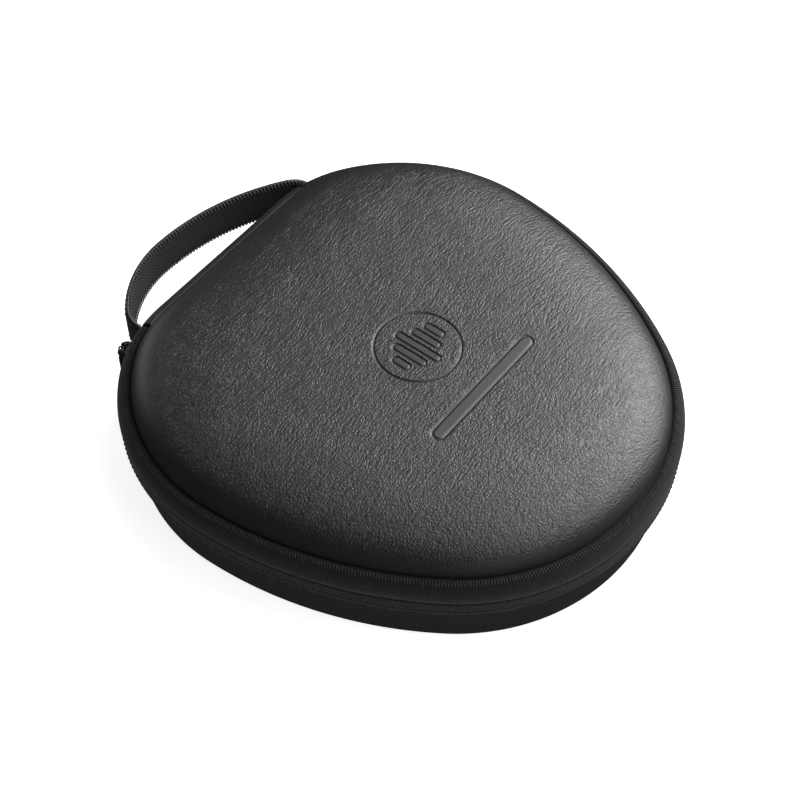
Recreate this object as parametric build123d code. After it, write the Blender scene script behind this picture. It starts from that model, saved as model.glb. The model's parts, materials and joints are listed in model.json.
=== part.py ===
from build123d import *
import math
import os

# A moulded carrying case for headphones. +Z is up, +Y points to the hinge and the handle.
# The origin is the centre of the flat bottom. All lengths are millimetres, all angles degrees.

# Outline from above: straight hinge edge, then three arcs on each side and one round front.
HINGE_HALF = 40.7
CORNER_R, CORNER_TURN = 61.3, 34.0
SHOULDER_R, SHOULDER_TURN = 86.4, 58.5
SIDE_R, SIDE_TURN = 192.8, 32.0

# Base wall, measured as insets from the outline and heights above the floor.
BASE_EDGE_R = 6.0          # rounded edge round the bottom
BASE_FOOT_INSET = 4.4      # wall inset just above the rounded edge
BASE_TOP_INSET = 0.0       # the wall leans out to the full outline here
BASE_TOP = 28.0            # leather ends and the zip tape starts
ZIP_HEIGHT = 35.0          # the two rows of the zip meet here
BASE_CORE_TOP = 33.95
LID_CORE_FOOT = 36.05

# Lid section.
TAPE_BULGE = (-0.9, 38.0)  # the tape swells a little above the zip
RIM_SHOULDER = 41.2        # the rim starts to round over
GROOVE = (5.0, 45.6)       # the rim tape meets the lid leather
LID_EDGE = (11.0, 53.8)    # soft edge between the lid's side and its crown
CROWN_INSET, CROWN_TOP = 57.0, 61.6
CROWN_POWER = 3

# Inside of the lid: side wall, soft edge and ceiling.
LID_INNER_FOOT, LID_INNER_WAIST = (5.8, LID_CORE_FOOT), (6.2, 41.3)
LID_INNER_EDGE = (14.5, 51.2)
CEILING_TOP = 57.0

# Layers.
SKIN = 1.0                 # leather and zip tape
CORE = 3.2                 # moulded foam shell of the base
LINING = 0.8
COIL_WIDTH, COIL_HEIGHT = 1.6, 0.9
ZIP_GAP = 0.3              # between each tape's edge and the zip's middle
STOP_LENGTH, STOP_SETBACK = 2.2, 1.2

# Hinge at the back, where the leather folds.
HINGE_STRIP_HALF = 52.0
TAPE_END_GAP = 0.4
HINGE_HEIGHT = 38.8
HINGE_OUTSET = 0.1
HINGE_FOLD_GAP = 0.3
HINGE_STRIP_THICK = 0.6

# Padded divider between the ear cups.
DIVIDER_SIZE = (28.0, 104.0, 20.0)
DIVIDER_Y = -8.0
DIVIDER_EDGE_R = 9.0

# Mesh pocket under the lid's ceiling.
POCKET_HEIGHT, POCKET_THICK = 49.0, 0.8
POCKET_MOUTH_Y = -22.0
BINDING_WIDTH, BINDING_THICK = 9.0, 1.6

# Handle strap: a flat band that bows away from the hinge edge on two arcs.
STRAP_APEX_X, STRAP_REACH = -11.9, 26.8
STRAP_LEFT_R, STRAP_RIGHT_R = 53.5, 115.3
STRAP_LOW, STRAP_HIGH = 22.6, 42.8
STRAP_LEATHER, STRAP_WEBBING = 1.2, 1.0
STRAP_LEFT_X, STRAP_RIGHT_X = -49.4, 47.3      # the moving part ends here, clear of the open lid
STRAP_LEFT_END, STRAP_RIGHT_END = 45.8, 37.5   # turn at which each long arc ends
STRAP_TUCK_R, STRAP_TUCK_TURN = 8.0, 46.0
STRAP_TAIL = 6.0
STRAP_SPLIT_GAP = 0.4
STRAP_END_HIGH = 38.2
STRAP_END_OUTSET = 1.2     # the ends pass this far outside the zip tape

# Zip slider and its pull.
SLIDER_TURN = 23.3         # place on the circle of the left shoulder arc
SLIDER_OUTSET, SLIDER_PLATE = 0.95, 0.9
SLIDER_LENGTH, SLIDER_WIDE, SLIDER_NARROW = 9.0, 6.2, 4.4
SLIDER_HEIGHT = 34.4
BAIL_LENGTH, BAIL_WIDTH, BAIL_THICK = 8.0, 1.6, 1.0
BAIL_POST, BAIL_CORNER_R = 1.3, 2.0
PIVOT_OUT = 4.1            # pull pivot above the plate's inner face
RING_WIRE, RING_HALF_GAP = 0.7, 0.9
RING_ABOVE, RING_BELOW = 1.15, 4.6
RING_TILT = 10.0
TAB_SIZE = (4.2, 17.0, 1.0)
TAB_EYE, TAB_MARGIN, TAB_CORNER_R = 1.7, 0.8, 1.5


def sin(angle):
    return math.sin(math.radians(angle))


def cos(angle):
    return math.cos(math.radians(angle))


def outline_arcs():
    """Radius, first and last turn of each arc of the right half, from the hinge edge to the front."""
    arcs, turn, x = [], 0.0, HINGE_HALF
    for radius, sweep in ((CORNER_R, CORNER_TURN), (SHOULDER_R, SHOULDER_TURN), (SIDE_R, SIDE_TURN)):
        arcs.append((radius, turn, turn + sweep))
        x += radius * (sin(turn + sweep) - sin(turn))
        turn += sweep
    return arcs + [(x / sin(turn), turn, 180.0)]


ARCS = outline_arcs()
DEPTH = sum(radius * (cos(first) - cos(last)) for radius, first, last in ARCS)
BACK = DEPTH / 2


# ---------------------------------------------------------------- shared shapes

def outline(inset, height):
    """The case's outline as a face, drawn in by an inset, at a height."""
    back = BACK - inset
    lines = [Line((0, back), (HINGE_HALF, back))]
    for radius, first, last in ARCS:
        lines.append(JernArc(lines[-1] @ 1, lines[-1] % 1, radius - inset, first - last))
    half = Curve() + lines
    return Pos(0, 0, height) * make_face(half + mirror(half, about=Plane.YZ))


def stack(profile):
    """Solid with the outline drawn in by each inset at each height, from low to high."""
    return loft([outline(inset, height) for inset, height in profile], ruled=True)


def column(inset, low, high):
    return stack([(inset, low), (inset, high)])


def base_profile(depth, top):
    """Section of the base at a depth below its skin: flat bottom, round edge, leaning wall."""
    radius = BASE_EDGE_R - depth
    steps = 5
    points = []
    for step in range(steps + 1):
        turn = 90 * step / steps
        points.append((BASE_FOOT_INSET + BASE_EDGE_R - radius * sin(turn),
                       BASE_EDGE_R - radius * cos(turn)))
    points.append((BASE_TOP_INSET + depth, BASE_TOP))
    if top > BASE_TOP:
        points.append((depth, ZIP_HEIGHT))
    if top > ZIP_HEIGHT:
        points.append((depth, top))
    return points


def lid_profile():
    """Outer section of the lid: zip tape, rounded rim, groove, side and crown."""
    points = [(0.0, ZIP_HEIGHT), TAPE_BULGE, (0.0, RIM_SHOULDER)]
    steps = 4
    for step in range(1, steps + 1):
        turn = 90 * step / steps
        points.append((GROOVE[0] * (1 - cos(turn)),
                       RIM_SHOULDER + (GROOVE[1] - RIM_SHOULDER) * sin(turn)))
    points.append(LID_EDGE)
    return points + crown(LID_EDGE, CROWN_TOP)


def lid_inner_profile():
    """Inner section of the lid: side wall, soft edge and ceiling."""
    return [LID_INNER_FOOT, LID_INNER_WAIST, LID_INNER_EDGE] + crown(LID_INNER_EDGE, CEILING_TOP)


def crown(edge, top):
    """Points of a dome that rises from an edge point and levels out at its top."""
    points = []
    for share in (0.06, 0.16, 0.32, 0.56, 1.0):
        rise = 1 - (1 - share) ** CROWN_POWER
        points.append((edge[0] + (CROWN_INSET - edge[0]) * share, edge[1] + (top - edge[1]) * rise))
    return points


def deepen(profile, depth):
    """Move a section inward, square to itself."""
    moved = []
    for index, (inset, height) in enumerate(profile):
        before, after = profile[max(index - 1, 0)], profile[min(index + 1, len(profile) - 1)]
        run, rise = after[0] - before[0], after[1] - before[1]
        length = math.hypot(run, rise)
        moved.append((inset + depth * rise / length, height - depth * run / length))
    return moved


def lowered(profile, foot):
    """Carry a lid section straight down past the lid's lower edge."""
    return [(profile[0][0], foot)] + [point for point in profile if point[1] > foot + 0.1]


def hinge_zone(half_width, low, high):
    """Box round the hinge edge, where leather takes the place of the zip."""
    reach = 30.0
    return Pos(0, BACK, (low + high) / 2) * Box(2 * half_width, reach, high - low)


# ---------------------------------------------------------------- base

def base_cover():
    return stack(base_profile(0, BASE_TOP)) - stack(base_profile(SKIN, BASE_TOP + 2))


def base_core():
    outer = stack(base_profile(SKIN, ZIP_HEIGHT)) & column(0, 0, BASE_CORE_TOP)
    return outer - stack(base_profile(SKIN + CORE, ZIP_HEIGHT))


def base_lining():
    outer = stack(base_profile(SKIN + CORE, ZIP_HEIGHT)) & column(0, 0, BASE_CORE_TOP)
    return outer - stack(base_profile(SKIN + CORE + LINING, ZIP_HEIGHT))


def base_wall(depth, thick, low, high):
    """A band of the base's wall between two heights."""
    ring = stack(base_profile(depth, high + 1)) - stack(base_profile(depth + thick, high + 2))
    return ring & column(-2, low, high)


def lower_zip_tape():
    ring = base_wall(0, SKIN, BASE_TOP, ZIP_HEIGHT - ZIP_GAP)
    return ring - hinge_zone(HINGE_STRIP_HALF + TAPE_END_GAP, 0, LID_EDGE[1])


def hinge_leather_lower():
    ring = base_wall(0, HINGE_STRIP_THICK, BASE_TOP, HINGE_HEIGHT - HINGE_FOLD_GAP)
    return ring & hinge_zone(HINGE_STRIP_HALF, 0, LID_EDGE[1])


def zip_coil(low, high):
    """One row of the zip: a band of coil along the tape's inner face."""
    ring = column(SKIN, low, high) - column(SKIN + COIL_WIDTH, low - 1, high + 1)
    return ring - hinge_zone(HINGE_STRIP_HALF + TAPE_END_GAP, low - 1, high + 1)


def lower_zip_coil():
    return zip_coil(BASE_CORE_TOP, BASE_CORE_TOP + COIL_HEIGHT)


def zip_stops():
    """Two small clamps that close the ends of the lower coil."""
    stops = Part()
    stop_size = Box(STOP_LENGTH, COIL_WIDTH, COIL_HEIGHT)
    middle = BASE_CORE_TOP + COIL_HEIGHT / 2
    for side in (-1, 1):
        turn = math.degrees(math.asin((HINGE_STRIP_HALF - HINGE_HALF - STOP_SETBACK) / CORNER_R))
        radius = CORNER_R - SKIN - COIL_WIDTH / 2
        place = Pos(side * (HINGE_HALF + radius * sin(turn)), BACK - CORNER_R + radius * cos(turn), middle)
        stops += place * Rot(0, 0, -side * turn) * stop_size
    return stops


def cup_divider():
    """Padded block that keeps the two ear cups apart."""
    floor = SKIN + CORE + LINING
    length, depth, height = DIVIDER_SIZE
    block = Pos(0, DIVIDER_Y, floor + height / 2) * Box(length, depth, height)
    block = fillet(block.edges().filter_by(Axis.Z), DIVIDER_EDGE_R)
    return fillet(block.faces().sort_by(Axis.Z)[-1].edges(), DIVIDER_EDGE_R / 2)


# ---------------------------------------------------------------- lid

def lid_skin():
    """Everything the lid shows outside, one skin thick."""
    outer = stack(lid_profile())
    inner = stack(lowered(deepen(lid_profile(), SKIN), ZIP_HEIGHT - 2))
    return outer - inner


def lid_cover(skin):
    return skin & column(GROOVE[0], ZIP_HEIGHT - 1, CROWN_TOP + 1)


def lid_rim(skin):
    return skin - column(GROOVE[0], ZIP_HEIGHT - 1, CROWN_TOP + 1)


def upper_zip_tape(rim):
    band = rim & column(-2, ZIP_HEIGHT + ZIP_GAP, CROWN_TOP)
    return band - hinge_zone(HINGE_STRIP_HALF + TAPE_END_GAP, 0, LID_EDGE[1])


def hinge_leather_upper(rim):
    band = rim & column(-2, HINGE_HEIGHT + HINGE_FOLD_GAP, CROWN_TOP)
    return band & hinge_zone(HINGE_STRIP_HALF, 0, LID_EDGE[1])


def upper_zip_coil():
    return zip_coil(LID_CORE_FOOT - COIL_HEIGHT, LID_CORE_FOOT)


def lid_core():
    outer = stack(deepen(lid_profile(), SKIN)) & column(SKIN, LID_CORE_FOOT, CROWN_TOP + 1)
    return outer - stack(lowered(deepen(lid_inner_profile(), -LINING), ZIP_HEIGHT))


def lid_lining():
    outer = stack(deepen(lid_inner_profile(), -LINING)) & column(0, LID_CORE_FOOT, CROWN_TOP)
    return outer - stack(lowered(lid_inner_profile(), ZIP_HEIGHT))


def pocket_sheet(low, high, front_y, back_y):
    """Slice of the space inside the lid, between two heights and two places along Y."""
    slab = Box(DEPTH, back_y - front_y, high - low)
    return stack(lid_inner_profile()) & Pos(0, (front_y + back_y) / 2, (low + high) / 2) * slab


def mesh_pocket():
    low = POCKET_HEIGHT
    return pocket_sheet(low, low + POCKET_THICK, POCKET_MOUTH_Y, BACK)


def pocket_binding():
    """Elastic that edges the pocket's mouth."""
    low = POCKET_HEIGHT + (POCKET_THICK - BINDING_THICK) / 2
    front = POCKET_MOUTH_Y - BINDING_WIDTH
    return pocket_sheet(low, low + BINDING_THICK, front, POCKET_MOUTH_Y)


# ---------------------------------------------------------------- handle

def strap_line(depth):
    """The strap's line from above, a depth inside its outer face, from left wall to right wall."""
    apex = Vector(STRAP_APEX_X, BACK + STRAP_REACH - depth)
    left = JernArc(apex, (-1, 0), STRAP_LEFT_R - depth, STRAP_LEFT_END)
    left_tuck = JernArc(left @ 1, left % 1, STRAP_TUCK_R - depth, STRAP_TUCK_TURN)
    left_tail = Line(left_tuck @ 1, left_tuck @ 1 + (left_tuck % 1) * STRAP_TAIL)
    right = JernArc(apex, (1, 0), STRAP_RIGHT_R - depth, -STRAP_RIGHT_END)
    right_tuck = JernArc(right @ 1, right % 1, STRAP_TUCK_R - depth, -STRAP_TUCK_TURN)
    right_tail = Line(right_tuck @ 1, right_tuck @ 1 + (right_tuck % 1) * STRAP_TAIL)
    return [left_tail, left_tuck, left, right, right_tuck, right_tail]


def strap_band(depth, thick, low, high):
    """Upright band between two depths of the strap, closed across its two ends."""
    outer, inner = strap_line(depth), strap_line(depth + thick)
    ends = [Line(outer[0] @ 1, inner[0] @ 1), Line(outer[-1] @ 1, inner[-1] @ 1)]
    face = make_face(Curve() + outer + inner + ends)
    return Pos(0, 0, low) * extrude(face, high - low)


def beyond(x, side):
    """Everything on one side of an upright plane across the strap."""
    reach = 200.0
    return Pos(x + side * reach / 2, BACK, LID_EDGE[1]) * Box(reach, reach, reach)


def strap(depth, thick):
    """The part of the strap that swings."""
    band = strap_band(depth, thick, STRAP_LOW, STRAP_HIGH)
    return band & beyond(STRAP_LEFT_X, 1) & beyond(STRAP_RIGHT_X, -1)


def strap_end(side):
    """One of the strap's ends, narrowed and sewn to the base under the rim."""
    band = strap_band(0, STRAP_LEATHER + STRAP_WEBBING, STRAP_LOW, STRAP_END_HIGH)
    start = STRAP_LEFT_X if side < 0 else STRAP_RIGHT_X
    band = band & beyond(start + side * STRAP_SPLIT_GAP, side)
    band = band - stack(base_profile(0, BASE_TOP)) - column(-STRAP_END_OUTSET, BASE_TOP, STRAP_HIGH)
    return band.solids().sort_by(SortBy.VOLUME)[-1]


# ---------------------------------------------------------------- zip slider

def slider_frame():
    """Plane on the slider's inner face: X along the zip to the front, Y up, Z outward."""
    outward = Vector(-sin(SLIDER_TURN), cos(SLIDER_TURN), 0)
    step = CORNER_R - SHOULDER_R
    centre = Vector(-HINGE_HALF - step * sin(CORNER_TURN), BACK - CORNER_R + step * cos(CORNER_TURN),
                    SLIDER_HEIGHT)
    along = Vector(-cos(SLIDER_TURN), -sin(SLIDER_TURN), 0)
    return Plane(centre + outward * (SHOULDER_R + SLIDER_OUTSET), x_dir=along, z_dir=outward)


def slider_body():
    """Wedge-shaped plate, wide at its front."""
    half = SLIDER_LENGTH / 2
    wide, narrow = SLIDER_WIDE / 2, SLIDER_NARROW / 2
    plate = make_face(Polyline((-half, -narrow), (half, -wide), (half, wide), (-half, narrow), close=True))
    plate = fillet(plate.vertices(), narrow / 2)
    return slider_frame() * extrude(plate, SLIDER_PLATE)


def slider_bail():
    """Bridge along the plate that the ring hangs on."""
    top = PIVOT_OUT + BAIL_THICK / 2
    block = Rectangle(BAIL_LENGTH, top - SLIDER_PLATE, align=(Align.CENTER, Align.MIN))
    hole_height = PIVOT_OUT - BAIL_THICK / 2 - SLIDER_PLATE
    hole = Rectangle(BAIL_LENGTH - 2 * BAIL_POST, hole_height, align=(Align.CENTER, Align.MIN))
    arch = fillet(block.vertices().group_by(Axis.Y)[-1], BAIL_CORNER_R) - hole
    upright = extrude(Plane.XZ * Pos(0, SLIDER_PLATE) * arch, BAIL_WIDTH / 2, both=True)
    return slider_frame() * upright


def pull_frame():
    """Plane at the pull's pivot: X along the pivot, Y up."""
    frame = slider_frame()
    return Plane(frame.origin + frame.z_dir * PIVOT_OUT, x_dir=frame.x_dir, z_dir=frame.z_dir)


def pull_ring():
    """Long flat ring, hooked on the bail and leaning outward."""
    inner_length = RING_ABOVE + RING_BELOW
    inner = SlotOverall(inner_length, 2 * RING_HALF_GAP)
    outer = SlotOverall(inner_length + 2 * RING_WIRE, 2 * (RING_HALF_GAP + RING_WIRE))
    ring = extrude(outer - inner, RING_WIRE / 2, both=True)
    upright = Plane(origin=(0, 0, 0), x_dir=(0, 1, 0), z_dir=(1, 0, 0))
    hung = Pos(0, (RING_ABOVE - RING_BELOW) / 2, 0) * (upright * ring)
    return pull_frame() * Rot(-RING_TILT, 0, 0) * hung


def pull_tab():
    """Narrow tab that hangs from the ring's lower end."""
    width, length, thick = TAB_SIZE
    eye_y = -(RING_BELOW + RING_WIRE / 2) * cos(RING_TILT)
    out = (RING_BELOW + RING_WIRE / 2) * sin(RING_TILT)
    top = eye_y + TAB_EYE / 2 + TAB_MARGIN
    face = Pos(0, top - length / 2) * RectangleRounded(width, length, TAB_CORNER_R)
    tab = extrude(face, thick / 2, both=True)
    eye = Pos(0, eye_y, 0) * Box(TAB_EYE, TAB_EYE, 2 * thick)
    return pull_frame() * Pos(0, 0, out) * (tab - eye)


# ---------------------------------------------------------------- write the pieces

skin = lid_skin()
rim = lid_rim(skin)
pieces = {
    "base_cover": base_cover(),
    "base_core": base_core(),
    "base_lining": base_lining(),
    "lower_zip_tape": lower_zip_tape(),
    "lower_zip_coil": lower_zip_coil(),
    "zip_stops": zip_stops(),
    "hinge_leather_lower": hinge_leather_lower(),
    "cup_divider": cup_divider(),
    "lid_cover": lid_cover(skin),
    "lid_core": lid_core(),
    "lid_lining": lid_lining(),
    "upper_zip_tape": upper_zip_tape(rim),
    "upper_zip_coil": upper_zip_coil(),
    "hinge_leather_upper": hinge_leather_upper(rim),
    "mesh_pocket": mesh_pocket(),
    "pocket_binding": pocket_binding(),
    "handle_leather": strap(0, STRAP_LEATHER),
    "handle_webbing": strap(STRAP_LEATHER, STRAP_WEBBING),
    "handle_end_left": strap_end(-1),
    "handle_end_right": strap_end(1),
    "slider_body": slider_body(),
    "slider_bail": slider_bail(),
    "pull_ring": pull_ring(),
    "pull_tab": pull_tab(),
}

os.makedirs("parts", exist_ok=True)
for name, piece in pieces.items():
    export_step(piece, f"parts/{name}.step")
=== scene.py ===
import bmesh
import bpy
import json
import math
import numpy as np
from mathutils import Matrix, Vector


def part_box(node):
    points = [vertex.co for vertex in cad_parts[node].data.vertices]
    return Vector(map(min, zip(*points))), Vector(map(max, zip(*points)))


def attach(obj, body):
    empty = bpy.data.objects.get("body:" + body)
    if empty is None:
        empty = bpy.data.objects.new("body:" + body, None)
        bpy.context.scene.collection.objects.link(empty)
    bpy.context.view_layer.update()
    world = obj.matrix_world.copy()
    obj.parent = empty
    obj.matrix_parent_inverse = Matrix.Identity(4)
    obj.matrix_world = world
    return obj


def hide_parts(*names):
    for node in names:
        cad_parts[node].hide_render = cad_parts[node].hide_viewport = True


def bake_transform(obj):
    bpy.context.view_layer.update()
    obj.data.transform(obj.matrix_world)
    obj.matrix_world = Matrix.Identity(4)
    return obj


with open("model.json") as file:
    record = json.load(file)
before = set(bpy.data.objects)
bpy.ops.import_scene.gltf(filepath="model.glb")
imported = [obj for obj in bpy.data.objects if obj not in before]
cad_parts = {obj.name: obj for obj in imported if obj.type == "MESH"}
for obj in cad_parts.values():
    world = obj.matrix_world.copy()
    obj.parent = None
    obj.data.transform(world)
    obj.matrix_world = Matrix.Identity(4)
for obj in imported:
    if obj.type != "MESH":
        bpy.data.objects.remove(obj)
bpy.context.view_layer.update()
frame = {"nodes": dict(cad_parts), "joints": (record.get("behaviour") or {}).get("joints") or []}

# Lengths are metres; MM turns millimetres into metres. +Z is up, +Y points to the hinge.
MM = 0.001

# Outline from above: straight hinge edge, then three arcs on each side and one round front.
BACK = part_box("base_cover")[1].y
HINGE_HALF = 40.7 * MM
SIDE_ARCS = ((61.3 * MM, 34.0), (86.4 * MM, 58.5), (192.8 * MM, 32.0))
FLOOR_OF_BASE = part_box("base_lining")[0].z
LID_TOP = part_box("lid_cover")[1].z
TAPE_END_X = 52.4 * MM
JOINT_AT = {joint["name"]: joint["pos_m"] for joint in frame["joints"]}
HINGE_Z = JOINT_AT["lid_hinge"][2]


# ---- camera, light and floor

CAMERA_TURN, CAMERA_HEIGHT = math.radians(-52.06), math.radians(52.86)
CAMERA_TARGET = Vector((-7.66, 5.25, 30.0)) * MM
CAMERA_DISTANCE = 755.77 * MM
CAMERA_LENS, SENSOR = 79.17, 36.0
SOFTBOX_SIZE, SOFTBOX_DISTANCE, SOFTBOX_AIM = 0.8, 1.4, Vector((0, 0, 0.03))
SOFTBOXES = (                               # name, azimuth and elevation in degrees, watts
    ("key", 82, 39, 20.0),
    ("front", 0, 45, 3.8),
    ("right_low", 60, 9, 7.0),
    ("right_front", 30, 45, 2.5),
    ("back_high", 120, 68, 2.1),
    ("back_low", 180, 9, 2.1),
    ("right_high", 60, 68, 1.9),
    ("right_front_low", 30, 22, 1.3),
    ("left_front_low", -30, 22, 1.0),
)
WORLD_GLOW = 0.02
FLOOR_HALF, FLOOR_GREY = 12.0, 0.95
FLOOR_GLOW = 0.85                           # light table under the paper
WHITE = (1.0, 1.0, 1.0, 1)


def direction(turn, height):
    """Unit vector towards a viewer at an azimuth and an elevation."""
    return Vector((math.sin(turn) * math.cos(height), -math.cos(turn) * math.cos(height), math.sin(height)))


def add_object(name, data):
    """Object in the scene, made from a mesh, a light or a camera."""
    made = bpy.data.objects.new(name, data)
    bpy.context.scene.collection.objects.link(made)
    return made


def make_camera():
    data = bpy.data.cameras.new("camera")
    data.lens, data.sensor_width = CAMERA_LENS, SENSOR
    data.clip_start, data.clip_end = 0.01, 50
    camera = add_object("camera", data)
    toward = direction(CAMERA_TURN, CAMERA_HEIGHT)
    camera.location = CAMERA_TARGET + toward * CAMERA_DISTANCE
    camera.rotation_euler = toward.to_track_quat("Z", "Y").to_euler()
    bpy.context.scene.camera = camera


def softbox(name, turn, height, power):
    """Square area light that faces the object from an azimuth and an elevation, in degrees."""
    data = bpy.data.lights.new(name, "AREA")
    data.shape, data.size, data.energy = "SQUARE", SOFTBOX_SIZE, power
    light = add_object(name, data)
    toward = direction(math.radians(turn), math.radians(height))
    light.location = SOFTBOX_AIM + toward * SOFTBOX_DISTANCE
    light.rotation_euler = toward.to_track_quat("Z", "Y").to_euler()


def make_studio():
    for box in SOFTBOXES:
        softbox(*box)
    world = bpy.data.worlds.new("studio")
    world.use_nodes = True
    world.node_tree.nodes["Background"].inputs["Color"].default_value = WHITE
    world.node_tree.nodes["Background"].inputs["Strength"].default_value = WORLD_GLOW
    bpy.context.scene.world = world
    bpy.context.scene.view_settings.view_transform = "Standard"
    half = FLOOR_HALF
    mesh = bpy.data.meshes.new("floor")
    corners = [(-half, -half, 0), (half, -half, 0), (half, half, 0), (-half, half, 0)]
    mesh.from_pydata(corners, [], [(0, 1, 2, 3)])
    floor = add_object("floor", mesh)
    material = bpy.data.materials.new("floor_paper")
    material.use_nodes = True
    shader = material.node_tree.nodes["Principled BSDF"]
    shader.inputs["Base Color"].default_value = (FLOOR_GREY, FLOOR_GREY, FLOOR_GREY, 1)
    shader.inputs["Roughness"].default_value = 0.9
    shader.inputs["Specular IOR Level"].default_value = 0.0
    shader.inputs["Emission Color"].default_value = WHITE
    shader.inputs["Emission Strength"].default_value = FLOOR_GLOW
    mesh.materials.append(material)
    floor.visible_glossy = False


# ---- materials

class Graph:
    """Short names for the shader nodes that the materials are made of."""

    def __init__(self, name, roughness=0.5, specular=0.5, **sockets):
        self.material = bpy.data.materials.new(name)
        self.material.use_nodes = True
        self.tree = self.material.node_tree
        self.shader = self.tree.nodes["Principled BSDF"]
        self.shader.inputs["Roughness"].default_value = roughness
        self.shader.inputs["Specular IOR Level"].default_value = specular
        for socket, value in sockets.items():
            self.shader.inputs[socket.replace("_", " ")].default_value = value

    def node(self, kind, inputs=(), **settings):
        node = self.tree.nodes.new(kind)
        for key, value in settings.items():
            setattr(node, key, value)
        for key, value in dict(inputs).items():
            if isinstance(value, bpy.types.NodeSocket):
                self.tree.links.new(value, node.inputs[key])
            else:
                node.inputs[key].default_value = value
        return node

    def place(self, scale=(1, 1, 1), turn=0.0, source="Object"):
        """Coordinates in millimetres, stretched by a scale for each axis."""
        return self.stretch(self.node("ShaderNodeTexCoord").outputs[source], [v / MM for v in scale], turn)

    def stretch(self, vector, scale, turn=0.0):
        return self.node("ShaderNodeMapping", {"Vector": vector, "Scale": scale,
                                               "Rotation": (0, 0, turn)}).outputs["Vector"]

    def warp(self, vector, scale, amount):
        """Push coordinates about with noise, so that a pattern flows."""
        noise = self.node("ShaderNodeTexNoise", {"Vector": vector, "Scale": scale, "Detail": 2.0})
        push = self.node("ShaderNodeVectorMath", {0: noise.outputs["Color"], 1: (0.5, 0.5, 0.5)},
                         operation="SUBTRACT")
        push = self.node("ShaderNodeVectorMath", {0: push.outputs[0], "Scale": amount}, operation="SCALE")
        return self.node("ShaderNodeVectorMath", {0: vector, 1: push.outputs[0]}, operation="ADD").outputs[0]

    def noise(self, vector, scale=1.0, detail=3.0, rough=0.5):
        return self.node("ShaderNodeTexNoise", {"Vector": vector, "Scale": scale, "Detail": detail,
                                                "Roughness": rough}).outputs["Fac"]

    def cells(self, vector, scale=1.0, feature="DISTANCE_TO_EDGE"):
        return self.node("ShaderNodeTexVoronoi", {"Vector": vector, "Scale": scale, "Randomness": 1.0},
                         feature=feature).outputs["Distance"]

    def math(self, operation, a, b=0.0, c=0.0):
        return self.node("ShaderNodeMath", {0: a, 1: b, 2: c}, operation=operation).outputs[0]

    def weigh(self, *terms):
        """Sum of (value, weight) pairs."""
        *others, (value, weight) = terms
        total = self.math("MULTIPLY", value, weight)
        for value, weight in reversed(others):
            total = self.math("MULTIPLY_ADD", value, weight, total)
        return total

    def ramp(self, value, low, high, to_low=0.0, to_high=1.0, smooth=True):
        return self.node("ShaderNodeMapRange", {"Value": value, "From Min": low, "From Max": high,
                                                "To Min": to_low, "To Max": to_high},
                         interpolation_type="SMOOTHSTEP" if smooth else "LINEAR").outputs["Result"]

    def axis(self, vector, name):
        return self.node("ShaderNodeSeparateXYZ", {"Vector": vector}).outputs[name]

    def wave(self, value, pitch):
        """A sine from 0 to 1 that repeats at a pitch."""
        angle = self.math("MULTIPLY_ADD", value, 2 * math.pi / pitch, 0.0)
        return self.math("MULTIPLY_ADD", self.math("SINE", angle), 0.5, 0.5)

    def colour(self, value, dark, light):
        mix = self.node("ShaderNodeMix", {"Factor": value, "A": (*dark, 1), "B": (*light, 1)},
                        data_type="RGBA")
        self.tree.links.new(mix.outputs["Result"], self.shader.inputs["Base Color"])

    def roughness(self, value, low, high):
        self.tree.links.new(self.ramp(value, 0, 1, low, high, smooth=False), self.shader.inputs["Roughness"])

    def relief(self, height, depth):
        bump = self.node("ShaderNodeBump", {"Height": height, "Distance": depth, "Strength": 1.0})
        self.tree.links.new(bump.outputs["Normal"], self.shader.inputs["Normal"])


def grey(value, blue=1.0):
    return value, value, value * blue


def lid_leather():
    """Flowing wrinkled grain along the hinge, dying out on the lid's side and in the pressed marks."""
    g = Graph("lid_leather", specular=0.9)
    flow = g.warp(g.warp(g.place(), 0.05, 6.0), 0.22, 0.9)
    ripple = g.ramp(g.cells(g.stretch(flow, (0.17, 0.64, 0.45))), 0.0, 0.24)
    pebble = g.ramp(g.cells(g.stretch(flow, (0.56, 0.92, 0.8))), 0.0, 0.30)
    crease = g.noise(g.stretch(flow, (0.04, 0.26, 0.15)), 1.0, 2.0, 0.5)
    crease = g.ramp(g.math("ABSOLUTE", g.math("SUBTRACT", crease, 0.5)), 0.0, 0.08)
    fine = g.noise(g.place(), 2.2, 3.0, 0.6)
    height = g.weigh((crease, 0.32), (ripple, 0.30), (pebble, 0.44))
    patch = g.ramp(g.noise(g.place(), 0.035, 2.0), 0.35, 0.65, 0.9, 1.0)
    grain = g.node("ShaderNodeAttribute", attribute_name="grain").outputs["Fac"]
    amount = g.math("MULTIPLY", g.math("MULTIPLY_ADD", grain, 0.94, 0.06), patch)
    g.relief(g.math("MULTIPLY_ADD", fine, 0.03, g.math("MULTIPLY", height, amount)), 0.21 * MM)
    cloud = g.noise(g.place(), 0.05, 3.0)
    # Painted shade: the colour darkens along the grain's creases and cell edges, also where the relief
    # fades; the cloud is the leather's own uneven tone.
    g.colour(g.weigh((height, 0.7), (cloud, 0.3)), grey(0.008, 1.03), grey(0.014, 1.03))
    g.roughness(g.math("MULTIPLY_ADD", g.math("MULTIPLY", amount), -0.5, 0.8), 0.33, 0.48)
    return g.material


def base_leather():
    """Finer, flatter grain than the lid's."""
    g = Graph("base_leather", specular=0.7)
    flow = g.warp(g.place(), 0.1, 3.0)
    grain = g.ramp(g.cells(flow, 0.75), 0.0, 0.3)
    grain = g.weigh((g.noise(flow, 0.35, 4.0), 0.6), (grain, 0.4))
    g.relief(grain, 0.10 * MM)
    # Painted shade: the colour darkens at the grain's cell edges and low spots, mixed with random tone from
    # the noise.
    g.colour(grain, grey(0.010), grey(0.019))
    g.roughness(grain, 0.52, 0.36)
    return g.material


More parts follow.
